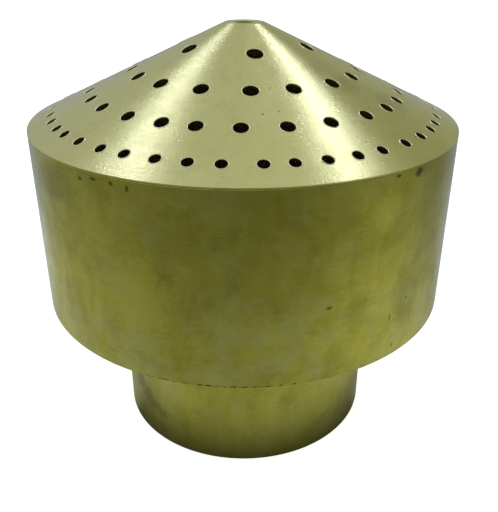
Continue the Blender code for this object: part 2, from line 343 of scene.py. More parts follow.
def block(name, size, centre):
    form = bmesh.new()
    matrix = Matrix.Translation(Vector(centre) * MM) @ Matrix.Diagonal((*[s * MM for s in size], 1.0))
    bmesh.ops.create_cube(form, size=1.0, matrix=matrix)
    mesh = bpy.data.meshes.new(name)
    form.to_mesh(mesh)
    form.free()
    return add_piece(name, mesh)


def soften(piece, width):
    """Break the sharp edges of a milled piece with a small bevel."""
    bevel = piece.modifiers.new("Edges", "BEVEL")
    bevel.width = width * MM
    bevel.segments = 2
    bevel.limit_method = "ANGLE"
    bevel.angle_limit = math.radians(30)
    bevel.harden_normals = True
    piece.data.shade_smooth()
    apply_modifiers(piece)


# ---------------------------------------------------------------- materials

class Nodes:
    """A small helper that adds nodes to a material or a world and links values into them."""

    def __init__(self, owner):
        owner.use_nodes = True
        self.owner = owner
        self.tree = owner.node_tree
        self.shader = self.tree.nodes.get("Principled BSDF") or self.tree.nodes["Background"]

    def add(self, kind, inputs=None, **settings):
        node = self.tree.nodes.new(kind)
        for key, value in settings.items():
            setattr(node, key, value)
        for key, value in (inputs or {}).items():
            self.put(node.inputs[key], value)
        return node

    def put(self, socket, value):
        if isinstance(value, bpy.types.NodeSocket):
            self.tree.links.new(value, socket)
        else:
            socket.default_value = value

    def math(self, operation, a, b=0.0, clamp=False):
        node = self.add("ShaderNodeMath", {0: a, 1: b}, operation=operation, use_clamp=clamp)
        return node.outputs[0]

    def plus(self, total, *others):
        for other in others:
            total = self.math("ADD", total, other)
        return total

    def times(self, product, *others):
        for other in others:
            product = self.math("MULTIPLY", product, other)
        return product

    def ramp(self, value, low, high, out_low=0.0, out_high=1.0, shape="LINEAR"):
        node = self.add("ShaderNodeMapRange", {
            "Value": value, "From Min": low, "From Max": high, "To Min": out_low, "To Max": out_high},
            interpolation_type=shape)
        return node.outputs["Result"]

    def mix(self, factor, a, b):
        node = self.add("ShaderNodeMix", data_type="RGBA")
        self.put(node.inputs[0], factor)
        self.put(node.inputs[6], a)
        self.put(node.inputs[7], b)
        return node.outputs[2]

    def noise(self, vector, scale, detail=3.0, roughness=0.5, distortion=0.0):
        node = self.add("ShaderNodeTexNoise", {
            "Vector": vector, "Scale": scale, "Detail": detail, "Roughness": roughness,
            "Distortion": distortion})
        return node.outputs["Fac"]

    def bump(self, height, distance):
        """Set the material's normal from a height, with the distance in metres."""
        node = self.add("ShaderNodeBump", {"Height": height, "Strength": 1.0, "Distance": distance})
        self.put(self.shader.inputs["Normal"], node.outputs["Normal"])

    def place(self):
        """The point on the piece, in millimetres."""
        where = self.add("ShaderNodeTexCoord").outputs["Object"]
        return self.add("ShaderNodeVectorMath", {0: where, "Scale": 1000.0}, operation="SCALE").outputs[0]

    def split(self, vector):
        parts = self.add("ShaderNodeSeparateXYZ", {0: vector})
        return parts.outputs[0], parts.outputs[1], parts.outputs[2]

    def length(self, a, b):
        return self.math("SQRT", self.plus(self.times(a, a), self.times(b, b)))

    def around(self, place, round_scale, along_scale):
        """Coordinates that repeat without a seam round the axis, stretched along the circumference."""
        x, y, z = self.split(place)
        radius = self.length(x, y)
        safe = self.math("MAXIMUM", radius, 0.01)
        joined = self.add("ShaderNodeCombineXYZ", {
            0: self.times(self.math("DIVIDE", x, safe), round_scale),
            1: self.times(self.math("DIVIDE", y, safe), round_scale),
            2: self.times(self.math("SUBTRACT", z, radius), along_scale)})
        return joined.outputs[0]

    def blotches(self, place, smudges_and_shade, edge=None):
        """How much is covered by uneven smudges, painted shade and painted highlights, and by a broken line
        of painted shadow along a lower edge.
        """
        found = 0.0
        x, y, z = self.split(place)
        ragged = self.times(self.math("SUBTRACT", self.noise(place, 0.9, 4.0, 0.7), 0.5), 1.6)
        for azimuth, level, wide, tall, most in smudges_and_shade:
            turn = math.radians(azimuth)
            along = self.plus(self.times(x, math.cos(turn) / wide), self.times(y, math.sin(turn) / wide))
            outward = self.plus(self.times(x, math.sin(turn)), self.times(y, -math.cos(turn)))
            up = self.math("DIVIDE", self.math("SUBTRACT", z, level), tall)
            cover = self.ramp(self.plus(self.length(along, up), ragged), 1.1, 0.5, 0.0, most)
            cover = self.times(cover, self.math("GREATER_THAN", outward, 0.0))
            found = self.math("MAXIMUM", found, cover)
        # A broken dark line painted along the lower edge as its shadow, a little thicker towards the front.
        if edge is not None:
            front = self.math("SUBTRACT", self.times(x, -0.14), self.times(y, 0.99))
            patchy = self.plus(self.noise(self.around(place, 26.0, 0.6), 1.0, 4.0, 0.75),
                             self.ramp(front, 0.92 * RIM_RADIUS, 0.99 * RIM_RADIUS, 0.0, 0.1))
            broken = self.ramp(patchy, 0.51, 0.68, 0.0, 0.36)
            outer = self.math("GREATER_THAN", self.length(x, y), RIM_RADIUS - 0.15)
            line = self.times(self.math("LESS_THAN", self.math("SUBTRACT", z, edge), broken), outer)
            found = self.math("MAXIMUM", found, line)
        return found


def rgba(colour, share=1.0):
    return (*[share * channel for channel in colour], 1.0)


WHITE = rgba((1.0, 1.0, 1.0))
SCUFF = rgba((0.74, 0.75, 0.36))
HAZE = rgba((0.66, 0.69, 0.34))
SPECK = rgba((0.05, 0.045, 0.015))
# A dark colour for smudges and for painted shade.
GRIME_AND_PAINTED_SHADE = rgba((0.055, 0.058, 0.022))
GRAIN_DEPTH = 0.00002


def brass(name, light, dark, roughness, anisotropy, marks, mottle, specks, haze, sparkle=0.2,
          smudges_and_shade=(), edge=None, painted_highlights=()):
    """Machined brass with cutting marks round the axis, mottled tone, grey haze, specks and smudges.

    The dark marks (smudges, and painted shade) and the light marks (painted highlights) are given as
    (azimuth from the front, height, half width, half height, cover); edge is the height of a lower edge
    with a broken line of painted shadow along it.
    """
    n = Nodes(bpy.data.materials.new(name))
    place = n.place()
    # Clouds and patches of lighter and darker metal
    cloud = n.noise(place, 0.045, 4.0, 0.55, 0.6)
    patch = n.noise(n.around(place, 11.0, 0.11), 1.0, 4.0, 0.62, 0.5)
    spread = 0.15 / mottle
    tone = n.ramp(n.plus(n.times(cloud, 0.5), n.times(patch, 0.5)), 0.5 - spread, 0.5 + spread)

    # Long and short cutting marks round the axis
    lines = n.noise(n.around(place, 4.0, 2.4), 1.0, 3.0, 0.65)
    dashes = n.noise(n.around(place, 15.0, 3.2), 1.0, 2.0, 0.6)
    cuts = n.plus(n.times(lines, 0.55), n.times(dashes, 0.45))
    brushed = n.ramp(cuts, 0.36, 0.64)

    # Specks here and there, haze that is thicker low down, scuffs round the axis, and upright stains
    spots = n.add("ShaderNodeTexVoronoi", {"Vector": place, "Scale": 0.17, "Randomness": 1.0})
    spot = n.ramp(spots.outputs["Distance"], 0.055, 0.03)
    chosen = n.ramp(n.noise(place, 0.11, 1.0), 0.5, 0.58)
    speck = n.times(spot, chosen, specks)
    low = n.ramp(n.split(place)[2], 72.0, 44.0, 0.35, 1.0)
    veil = n.times(n.ramp(n.noise(place, 0.12, 6.0, 0.7), 0.46, 0.74), n.times(low, haze))
    scuff = n.times(n.ramp(n.noise(n.around(place, 8.0, 1.7), 1.0, 4.0, 0.7), 0.56, 0.74),
                    n.ramp(n.noise(place, 0.055, 2.0), 0.45, 0.62, 0.15, 0.9))
    stain = n.times(n.ramp(n.noise(n.around(place, 7.0, 0.16), 1.0, 5.0, 0.65), 0.52, 0.7), 0.35)

    colour = n.mix(tone, rgba(dark), rgba(light))
    colour = n.mix(n.times(stain, mottle), colour, rgba(dark, 0.6))
    colour = n.mix(n.times(scuff, haze), colour, SCUFF)
    colour = n.mix(n.times(brushed, 0.16 * mottle), colour, rgba(dark, 0.55))
    # Lighter patches painted where the drum's reflections are brighter: painted highlights.
    colour = n.mix(n.blotches(place, painted_highlights), colour, rgba(light, 1.15))
    colour = n.mix(veil, colour, HAZE)
    colour = n.mix(speck, colour, SPECK)
    # Dark marks: smudges, and painted shade such as the neck's diagonal band, the drum's broad dark patches
    # and the shadow line along the drum's lower edge.
    colour = n.mix(n.blotches(place, smudges_and_shade, edge), colour, GRIME_AND_PAINTED_SHADE)
    n.put(n.shader.inputs["Base Color"], colour)
    n.shader.inputs["Metallic"].default_value = 1.0

    rough = n.plus(n.ramp(tone, 0.0, 1.0, roughness * 1.15, roughness * 0.92),
                   n.times(n.math("SUBTRACT", cuts, 0.5), 0.2), n.times(veil, 0.12))
    rough = n.math("ADD", rough, n.times(speck, 0.4), clamp=True)
    n.put(n.shader.inputs["Roughness"], rough)
    grit = n.noise(place, 2.2, 2.0, 0.7)
    n.bump(n.plus(n.times(cuts, marks), n.times(grit, sparkle)), GRAIN_DEPTH)
    n.shader.inputs["Anisotropic"].default_value = anisotropy
    n.shader.inputs["Anisotropic Rotation"].default_value = 0.25
    tangent = n.add("ShaderNodeTangent", direction_type="RADIAL", axis="Z")
    n.put(n.shader.inputs["Tangent"], tangent.outputs[0])
    return n.owner


def plain_metal(name, light, dark, roughness, scale):
    """Metal with a fine grain and slight tone changes, for small fittings."""
    n = Nodes(bpy.data.materials.new(name))
    place = n.place()
    tone = n.ramp(n.noise(place, scale, 3.0, 0.6), 0.35, 0.65)
    patchy = n.ramp(n.noise(place, scale * 6), 0.3, 0.7, roughness * 0.8, roughness * 1.25)
    n.put(n.shader.inputs["Base Color"], n.mix(tone, rgba(dark), rgba(light)))
    n.shader.inputs["Metallic"].default_value = 1.0
    n.put(n.shader.inputs["Roughness"], patchy)
    n.bump(n.noise(place, scale * 5, 4.0), GRAIN_DEPTH)
    return n.owner


def rubber(name, colour, roughness):
    """Moulded rubber with a faint dusty bloom."""
    n = Nodes(bpy.data.materials.new(name))
    place = n.place()
    bloom = n.ramp(n.noise(place, 0.4, 5.0, 0.6), 0.4, 0.75)
    n.put(n.shader.inputs["Base Color"], n.mix(bloom, rgba(colour), rgba(colour, 2.2)))
    n.put(n.shader.inputs["Roughness"], n.ramp(bloom, 0.0, 1.0, roughness, roughness + 0.15))
    n.bump(n.noise(place, 4.0, 4.0), 2 * GRAIN_DEPTH)
    return n.owner


CAP_SMUDGES = [(52, 93, 5.0, 1.6, 0.16), (63, 89, 5.0, 1.8, 0.2), (44, 96, 3.0, 1.2, 0.12)]
# Dark marks on the drum: small spots, most just under the seam, and at the end two broad faint patches of
# painted shade where the drum reflects darker surroundings.
DRUM_SMUDGES_AND_PAINTED_SHADE = [
    (-38, 79.6, 0.7, 0.5, 0.8), (-34, 80.3, 0.8, 0.4, 0.8), (-29, 80.2, 0.5, 0.5, 0.8),
    (-25, 79.8, 0.5, 0.9, 0.8), (35, 80.7, 0.9, 0.4, 0.8), (42, 80.2, 1.6, 1.1, 0.8),
    (19, 55, 0.7, 0.5, 0.6), (43, 51, 0.7, 0.6, 0.6), (37, 48, 0.5, 1.2, 0.5), (39, 40, 0.6, 0.7, 0.5),
    (-50, 76, 9.0, 4.5, 0.3), (43, 52, 6.0, 9.0, 0.25),
]
# Painted highlights on the drum, lighter patches where it reflects brighter surroundings.
DRUM_PAINTED_HIGHLIGHTS = [(-25, 55, 9.0, 13.0, 0.45), (2, 49, 12.0, 8.0, 0.25), (33, 74, 5.0, 4.0, 0.4)]
# A diagonal band of painted shade low on the neck's left side, where the neck reflects a shadow on the
# table.
NECK_PAINTED_SHADE_BAND = [
    (-61, 17.6, 3.2, 4.0, 0.36), (-56, 14.2, 3.6, 3.4, 0.42), (-51, 11.8, 3.6, 2.9, 0.42),
    (-46, 10.0, 3.4, 2.3, 0.38), (-41, 8.6, 3.2, 1.7, 0.3), (-48, 15.5, 6.5, 6.5, 0.14),
]

CAP_BRASS = brass(
    "cap_brass", light=(0.82, 0.84, 0.37), dark=(0.73, 0.75, 0.30), roughness=0.28, anisotropy=0.78,
    marks=1.3, mottle=0.7, specks=0.6, haze=0.4, sparkle=1.9, smudges_and_shade=CAP_SMUDGES)
# The drum's brass carries painted highlights and painted shade in its marks, and a line of painted shadow
# along its lower edge.
AGED_BRASS = brass(
    "aged_brass", light=(0.69, 0.69, 0.115), dark=(0.47, 0.46, 0.055), roughness=0.27, anisotropy=0.35,
    marks=0.35, mottle=1.15, specks=1.0, haze=0.6, sparkle=0.1, smudges_and_shade=DRUM_SMUDGES_AND_PAINTED_SHADE,
    edge=DRUM_BOTTOM, painted_highlights=DRUM_PAINTED_HIGHLIGHTS)
# The neck's dark marks are that band of painted shade.
NECK_BRASS = brass(
    "neck_brass", light=(0.64, 0.64, 0.11), dark=(0.51, 0.50, 0.07), roughness=0.27, anisotropy=0.35,
    marks=0.35, mottle=1.0, specks=0.8, haze=0.4, sparkle=0.1, smudges_and_shade=NECK_PAINTED_SHADE_BAND)
PLATE_BRASS = brass(
    "plate_brass", light=(0.70, 0.62, 0.26), dark=(0.58, 0.50, 0.18), roughness=0.34, anisotropy=0.3,
    marks=0.5, mottle=0.8, specks=0.4, haze=0.3)
DRILLED_BRASS = plain_metal("drilled_brass", (0.70, 0.66, 0.26), (0.52, 0.48, 0.16), 0.25, 0.6)
# Paler brass for the drill lips: fresh-cut metal, made lighter still as a painted highlight for the bright
# rims round the holes.
LIP_BRASS_PAINTED_GLINT = plain_metal("lip_brass_painted_glint", (0.92, 0.90, 0.62), (0.84, 0.82, 0.52), 0.22, 1.2)
FILLER = plain_metal("filler_metal", (0.66, 0.56, 0.30), (0.45, 0.36, 0.16), 0.38, 0.5)
STEEL = plain_metal("stainless_steel", (0.62, 0.62, 0.60), (0.50, 0.50, 0.49), 0.26, 0.8)
SEAL_RUBBER = rubber("seal_rubber", (0.02, 0.02, 0.022), 0.5)
GASKET_RUBBER = rubber("gasket_rubber", (0.045, 0.045, 0.05), 0.62)


def dress(piece, materials, slot, body, *nodes):
    """Give a piece its materials and its body, and let it stand for its CAD node; slot is not used."""
    if not any(piece.data.materials):
        piece.data.materials.clear()
        for material in materials:
            piece.data.materials.append(material)
    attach(piece, body)
    if nodes:
        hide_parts(*nodes)


# ---------------------------------------------------------------- the cap

def cone_height(radius):
    return TIP_HEIGHT - CONE_SLOPE * (radius - TIP_RADIUS)


def inner_cone_height(radius):
    return cone_height(radius) - CONE_WALL / math.cos(CONE_ANGLE)


def inner_cone_radius(height):
    return TIP_RADIUS + (TIP_HEIGHT - CONE_WALL / math.cos(CONE_ANGLE) - height) / CONE_SLOPE


def cone_drills():
    """(matrix on the outer surface, drill radius) of every drilled hole but the tip's."""
    drills = []
    for radius, count, diameter, first, spread, seed in CONE_RINGS:
        marking = random.Random(seed)
        for index in range(count):
            error = marking.uniform(-spread, spread)
            azimuth = math.radians(FRONT + first + 360.0 * index / count + error)
            drills.append((rod_matrix(radius, cone_height(radius), azimuth, CONE_ANGLE), diameter / 2))
    return drills


def cap_rows():
    """The cap's section: down the cone, the rim and the skirt with its seal groove, and up the inside."""
    skirt, skirt_bore, skirt_end = 48.8, 46.4, 69.5
    groove, groove_low, groove_high = 47.45, 71.0, 72.8
    land = SEAM_HEIGHT + SEAM_GAP / 2
    neck_end = CAP_THREAD[0] - 0.3
    outline = [
        (TIP_HOLE / 2, TIP_HEIGHT), (TIP_RADIUS, TIP_HEIGHT), (RIM_RADIUS, RIM_HEIGHT),
        (RIM_RADIUS, land), (CAP_THREAD_ROOT, land), (CAP_THREAD_ROOT, neck_end),
        (skirt, neck_end), (skirt, groove_high), (groove, groove_high), (groove, groove_low),
        (skirt, groove_low), (skirt, skirt_end), (skirt_bore, skirt_end),
        (skirt_bore, inner_cone_height(skirt_bore)), (inner_cone_radius(TIP_CEILING), TIP_CEILING),
        (TIP_HOLE / 2, TIP_CEILING),
    ]
    rows = rounded(outline, EDGE_ROUND)
    after = 1 + next(i for i, (point, _) in enumerate(rows)
                     if abs(point[0] - CAP_THREAD_ROOT) < SAME and point[1] < land)
    thread = threaded_rows(False, CAP_THREAD_ROOT, CAP_THREAD, CAP_PITCH)
    return rows[:after] + thread + rows[after:]


def cap_normals(mesh, rows, drills):
    """Exact normals after drilling: the turned surface's own, and the drills' on the walls they cut.

    The thread's faces keep the normals that the mesh gives them.
    """
    places = np.array([point for point, _ in rows])
    slopes = np.array([normal for _, normal in rows])
    after = np.roll(places, -1, axis=0)
    after_slopes = np.roll(slopes, -1, axis=0)
    spans = after - places
    lengths = np.maximum((spans ** 2).sum(1), 1e-12)
    origins = np.array([matrix.translation for matrix, _ in drills])
    axes = np.array([matrix.to_3x3() @ Vector((0, 0, 1)) for matrix, _ in drills])

    normals = [None] * len(mesh.loops)
    for face in mesh.polygons:
        corners = [(index, np.array(mesh.vertices[mesh.loops[index].vertex_index].co))
                   for index in face.loop_indices]
        middle = np.array(face.center)
        flat = np.array(face.normal)
        if face.material_index == 1:
            away = middle - origins
            along = (away * axes).sum(1)
            off = ((away - along[:, None] * axes) ** 2).sum(1)
            near = int(off.argmin())
            axis = axes[near]
            lean = float(flat @ axis)
            for index, corner in corners:
                offset = corner - origins[near]
                offset = offset - (offset @ axis) * axis
                offset = -offset / np.linalg.norm(offset)
                normal = offset * math.sqrt(max(0.0, 1.0 - lean * lean)) + axis * lean
                normals[index] = normal / np.linalg.norm(normal)
            continue
        radius = math.hypot(middle[0], middle[1]) / MM
        spot = np.array([radius, middle[2] / MM])
        share = np.clip(((spot - places) * spans).sum(1) / lengths, 0.0, 1.0)
        gaps = ((places + share[:, None] * spans - spot) ** 2).sum(1)
        row = int(gaps.argmin())
        if max(abs(places[row][0] - CAP_THREAD_ROOT), abs(after[row][0] - CAP_THREAD_ROOT)) < SAME:
            continue
        for index, corner in corners:
            corner_radius = math.hypot(corner[0], corner[1])
            spot = np.array([corner_radius / MM, corner[2] / MM])
            part = float(np.clip(((spot - places[row]) @ spans[row]) / lengths[row], 0.0, 1.0))
            slope = slopes[row] * (1 - part) + after_slopes[row] * part
            slope = slope / np.linalg.norm(slope)
            c, s = corner[0] / corner_radius, corner[1] / corner_radius
            normals[index] = np.array([slope[0] * c, slope[0] * s, slope[1]])
    return [n if n is not None else mesh.corner_normals[i].vector.copy() for i, n in enumerate(normals)]


def ring_lips(name, drills):
    """The small raised lip that a drill leaves round each hole, with its edges sunk in the cone."""
    form = bmesh.new()
    overlap, sunk = 0.02, -0.1
    for matrix, radius in drills:
        section = [(radius - overlap, sunk), (radius, 0.3 * LIP_RISE),
                   (radius + 0.3 * LIP_WIDTH, LIP_RISE), (radius + 0.7 * LIP_WIDTH, 0.6 * LIP_RISE),
                   (radius + LIP_WIDTH, sunk)]
        rings = [[form.verts.new(matrix @ (Vector((r * math.cos(a), r * math.sin(a), h)) * MM))
                  for a in (math.tau * i / SMALL for i in range(SMALL))] for r, h in section]
        for inner, outer in zip(rings, rings[1:]):
            for i in range(SMALL):
                j = (i + 1) % SMALL
                form.faces.new((inner[i], outer[i], outer[j], inner[j]))
    mesh = bpy.data.meshes.new(name)
    form.to_mesh(mesh)
    form.free()
    mesh.shade_smooth()
    return add_piece(name, mesh)


def make_cap():
    rows = cap_rows()
    shape = thread_shape(CAP_THREAD_ROOT, CAP_THREAD_DEPTH, CAP_PITCH, CAP_THREAD, 1.0)
    cap = add_piece("cone_cap_turned", lathe("cone_cap_turned", rows, FINE, shape=shape))
    cap.data.materials.append(CAP_BRASS)
    cap.data.materials.append(DRILLED_BRASS)
    drills = cone_drills()
    tools = []
    above, through = 1.0, -CONE_WALL - 1.2
    for matrix, radius in drills:
        wide = radius + DRILL_CHAMFER
        tools.append((matrix, [(wide + above, above), (wide, 0.0), (radius, -DRILL_CHAMFER),
                               (radius, through)]))
    cutter = solid_of_rods("cone_drills", tools, DRILL_SIDES)
    cutter.data.materials.append(DRILLED_BRASS)
    cut(cap, cutter)
    mesh = cap.data
    mesh.shade_smooth()
    mesh.normals_split_custom_set([tuple(n) for n in cap_normals(mesh, rows, drills)])
    dress(cap, [CAP_BRASS], "cap_brass", "cap", "cone_cap")

    lips = ring_lips("drill_lips", drills)
    dress(lips, [LIP_BRASS_PAINTED_GLINT], "cap_brass", "cap")

    section, middle, height, sides = 0.6, 48.35, 71.9, 20
    ring = [(middle + section * math.cos(a), height - section * math.sin(a))
            for a in (math.tau * i / sides for i in range(sides))]
    rows = [(np.array(p), (np.array(p) - (middle, height)) / section) for p in ring]
    seal = add_piece("cap_o_ring_moulded", lathe("cap_o_ring_moulded", rows, MEDIUM))
    dress(seal, [SEAL_RUBBER], "seal_rubber", "cap_seal", "cap_o_ring")


# ---------------------------------------------------------------- the casing

def make_drum():
    top = SEAM_HEIGHT - SEAM_GAP / 2
    bore, socket, seat, relief = 47.0, 49.0, 69.0, 72.6
    runout = DRUM_THREAD_ROOT + CAP_THREAD_DEPTH
    outline = [
        (RIM_RADIUS, top), (RIM_RADIUS, DRUM_BOTTOM), (socket, DRUM_BOTTOM), (socket, PILLAR_FOOT),
        (bore, PILLAR_FOOT), (bore, seat), (DRUM_THREAD_ROOT, seat), (DRUM_THREAD_ROOT, relief),
        (runout, CAP_THREAD[0] - 0.1), (runout, top)]
    rows = rounded(outline, EDGE_ROUND)
    end = next(i for i, (point, _) in enumerate(rows)
               if abs(point[0] - runout) < 0.05 and point[1] > CAP_THREAD[1])
    rows = rows[:end] + threaded_rows(True, DRUM_THREAD_ROOT, CAP_THREAD, CAP_PITCH) + rows[end:]
    shape = thread_shape(DRUM_THREAD_ROOT, CAP_THREAD_DEPTH, CAP_PITCH, CAP_THREAD, 1.0, end_level=1.0)
    shell = add_piece("drum_shell_turned", lathe("drum_shell_turned", rows, FINE, shape=shape))
    dress(shell, [AGED_BRASS], "aged_brass", "casing", "drum_shell")

    rim, hole, floor, ceiling = 48.7, 31.3, 39.3, 44.3
    plate = turned("base_plate_turned", [(rim, ceiling), (rim, floor), (hole, floor), (hole, ceiling)],
                   0.25, MEDIUM)
    dress(plate, [PLATE_BRASS], "plate_brass", "casing", "base_plate")

    leg, top, steps = 1.5, 39.0, 6
    for name, wall, side in (("drum_braze_ring", 48.7, -1), ("neck_braze_ring", 33.9, 1)):
        hollow = [(wall + side * leg * (1 - math.sin(a)), top - leg * (1 - math.cos(a)))
                  for a in (math.radians(90 * i / steps) for i in range(steps + 1))]
        if side > 0:
            outline = hollow + [(wall, top)]
        else:
            outline = [(wall, top)] + hollow[::-1]
        ring = turned(name + "_filled", outline, 0.05, MEDIUM)
        dress(ring, [FILLER], "filler_metal", "casing", name)


def make_neck():
    spigot, shoulder, top, mouth, inset = 31.0, 39.0, 49.2, 30.0, 0.05
    gasket_seat, waist, bore, groove = 30.1, 22.5, 24.5, 25.6
    outline = [
        (spigot, top), (spigot, shoulder), (NECK_RADIUS, shoulder), (NECK_RADIUS, 0.0), (mouth, 0.0),
        (PIPE_CREST, 1.4), (PIPE_CREST, PIPE_THREAD[1]), (gasket_seat, PIPE_THREAD[1]),
        (gasket_seat, 28.0), (waist, 28.0), (waist, 31.2), (bore, 31.2), (bore, 46.2), (groove, 46.2),
        (groove, 47.6), (bore, 47.6), (bore, top)]
    rows = rounded(outline, 0.25)
    end = next(i for i, (point, _) in enumerate(rows)
               if abs(point[0] - PIPE_CREST) < SAME and point[1] > PIPE_THREAD[1] / 2)
    zone = (rows[end - 1][0][1] + inset, rows[end][0][1] - inset)
    rows = rows[:end] + threaded_rows(True, PIPE_CREST, zone, PIPE_PITCH) + rows[end:]
    shape = thread_shape(PIPE_CREST, PIPE_THREAD_DEPTH, PIPE_PITCH, PIPE_THREAD, 1.2)
    neck = add_piece("inlet_neck_turned", lathe("inlet_neck_turned", rows, FINE, shape=shape))
    dress(neck, [NECK_BRASS], "aged_brass", "casing", "inlet_neck")

    gasket = turned("inlet_gasket_moulded", [(29.7, 27.7), (29.7, 25.0), (24.9, 25.0), (24.9, 27.7)], 0.5,
                    MEDIUM)
    dress(gasket, [GASKET_RUBBER], "gasket_rubber", "casing", "inlet_gasket")


def make_straightener():
    sleeve = turned("straightener_sleeve_turned", [(24.2, 46.1), (24.2, 31.5), (23.0, 31.5), (23.0, 46.1)],
                    0.2, MEDIUM)
    dress(sleeve, [PLATE_BRASS], "plate_brass", "casing", "straightener_sleeve")

    thickness, half_width, bottom, top, gap = 1.0, 22.6, 32.0, 45.5, 0.3
    tall, middle = top - bottom, (top + bottom) / 2
    for number, side in ((1, 1), (2, -1)):
        vane = block(f"straightener_vane_{number}_sheet", (2 * half_width, thickness, tall),
                     (0, 0, middle))
        edge = middle - side * gap / 2
        slot = block("slot", (thickness + 2 * gap, 3 * thickness, tall), (0, 0, edge + side * tall / 2))
        cut(vane, slot)
        soften(vane, 0.12)
        if number == 2:
            vane.data.transform(Matrix.Rotation(math.pi / 2, 4, "Z"))
        dress(vane, [PLATE_BRASS], "plate_brass", "casing", f"straightener_vane_{number}")

    ring = turned("sleeve_retaining_ring_sprung", [(25.3, 47.3), (25.3, 46.5), (23.4, 46.5), (23.4, 47.3)],
                  0.12, MEDIUM)
    ring.data.materials.append(STEEL)
    opening = block("opening", (7.0, 14.0, 7.0), (0.0, 25.3, 46.9))
    cut(ring, opening)
    dress(ring, [STEEL], "stainless_steel", "casing", "sleeve_retaining_ring")


# ---------------------------------------------------------------- the distributor plate

def pillar_azimuths():
    return [math.radians(90.0 + 360.0 * index / PILLAR_COUNT) for index in range(PILLAR_COUNT)]


def make_distributor():
    radius, middle, drill, screw_hole, chamfer, over = 45.5, 1.0, 2.5, 2.1, 0.2, 1.0
    outline = [(middle, PLATE_TOP), (radius, PLATE_TOP), (radius, PLATE_BOTTOM), (middle, PLATE_BOTTOM)]
    rows = rounded(outline, 0.25, closed=False)
    plate = add_piece("distributor_plate_turned",
                      lathe("distributor_plate_turned", rows, MEDIUM, closed=False))
    plate.data.materials.append(PLATE_BRASS)
    holes = [(ring, math.tau * (index + 0.5) / count, drill)
             for ring, count in PLATE_RINGS for index in range(count)]
    holes += [(PILLAR_CIRCLE, azimuth, screw_hole) for azimuth in pillar_azimuths()]
    depth = PLATE_TOP - PLATE_BOTTOM
    tools = [(rod_matrix(ring, PLATE_TOP, azimuth), [
        (size + chamfer + over, over), (size + chamfer, 0), (size, -chamfer), (size, chamfer - depth),
        (size + chamfer, -depth), (size + chamfer + over, -depth - over)])
        for ring, azimuth, size in holes]
    cut(plate, solid_of_rods("plate_drills", tools, PLATE_DRILL_SIDES))
    flatten_shading(plate)
    dress(plate, [PLATE_BRASS], "plate_brass", "casing", "distributor_plate")


def make_standoff(name):
    """A hexagonal pillar on z = 0 with turned ends, a spigot and a tapped hole."""
    height, flats, trim, end, sides = 11.1, 6.0, 3.6, 3.05, 32
    corner = flats / math.sqrt(3)
    here = Matrix.Identity(4)
    pillar = solid_of_rods(name, [(here, [(corner, height), (corner, 0.0)])], 6)
    turned_ends = [(end, height), (trim, height - 0.4), (trim, 0.4), (end, 0.0)]
    blank = lathe("trim", rounded(turned_ends, 0.05, closed=False), SMALL, closed=False)
    combine(pillar, add_piece("trim", blank), "INTERSECT")
    bore = [(3.4, height + 1.0), (2.4, height), (2.1, height - 0.3), (2.1, 2.9)]
    cut(pillar, solid_of_rods("bore", [(here, bore)], sides))
    spigot = [(1.8, 1.0), (1.8, -2.4), (1.5, -2.7)]
    combine(pillar, solid_of_rods("spigot", [(here, spigot)], sides), "UNION")
    flatten_shading(pillar)
    return pillar


def make_screw(name):
    """A slotted pan head screw whose head rests on z = 0."""
    head, tall, reach, point_radius, slot = 3.4, 2.4, 11.7, 0.9, 0.9
    crown = [(head * math.sin(a), tall * (0.5 + 0.5 * math.cos(a))) for a in
             (math.radians(12 + 13 * i) for i in range(6))]
    outline = crown + [(head, 0.0), (SCREW_ROOT, 0.0), (SCREW_ROOT, -reach + 0.6), (point_radius, -reach)]
    rows = rounded(outline, 0.15, closed=False)
    after = 1 + max(i for i, (point, _) in enumerate(rows)
                    if abs(point[0] - SCREW_ROOT) < SAME and point[1] > -2)
    thread = threaded_rows(False, SCREW_ROOT, (SCREW_THREAD[0], -0.6), SCREW_PITCH)
    rows = rows[:after] + thread + rows[after:]
    shape = thread_shape(SCREW_ROOT, SCREW_THREAD_DEPTH, SCREW_PITCH, SCREW_THREAD, 0.4)
    screw = add_piece(name, lathe(name, rows, SMALL, closed=False, shape=shape))
    screw.data.materials.append(STEEL)
    cut(screw, block("slot", (9.0, slot, tall), (0, 0, tall)))
    flatten_shading(screw)
    return screw


def make_fixings():
    """Three of each pillar, washer and screw, each turned a little further than the one before."""
    twist = 0.9
    standoff = make_standoff("standoff_1_hexagon")
    washer = turned("screw_washer_1_stamped", [(4.2, 0.8), (4.2, 0.0), (2.1, 0.0), (2.1, 0.8)], 0.18, SMALL)
    screw = make_screw("distributor_screw_1_steel")
    kinds = [
        (standoff, "standoff_{}_hexagon", "standoff_{}", PILLAR_FOOT, PLATE_BRASS, "plate_brass"),
        (washer, "screw_washer_{}_stamped", "screw_washer_{}", WASHER_FOOT, STEEL, "stainless_steel"),
        (screw, "distributor_screw_{}_steel", "distributor_screw_{}", SCREW_SEAT, STEEL,
         "stainless_steel"),
    ]
    for first, name, node, level, material, slot in kinds:
        source = first.data.copy()
        for index, azimuth in enumerate(pillar_azimuths()):
            piece = first if index == 0 else add_piece(name.format(index + 1), source.copy())
            turn = Matrix.Rotation(azimuth + twist * index, 4, "Z")
            x, y = PILLAR_CIRCLE * math.cos(azimuth), PILLAR_CIRCLE * math.sin(azimuth)
            piece.matrix_world = Matrix.Translation(Vector((x, y, level)) * MM) @ turn
            dress(piece, [material], slot, "casing", node.format(index + 1))


# ---------------------------------------------------------------- stage, light and camera

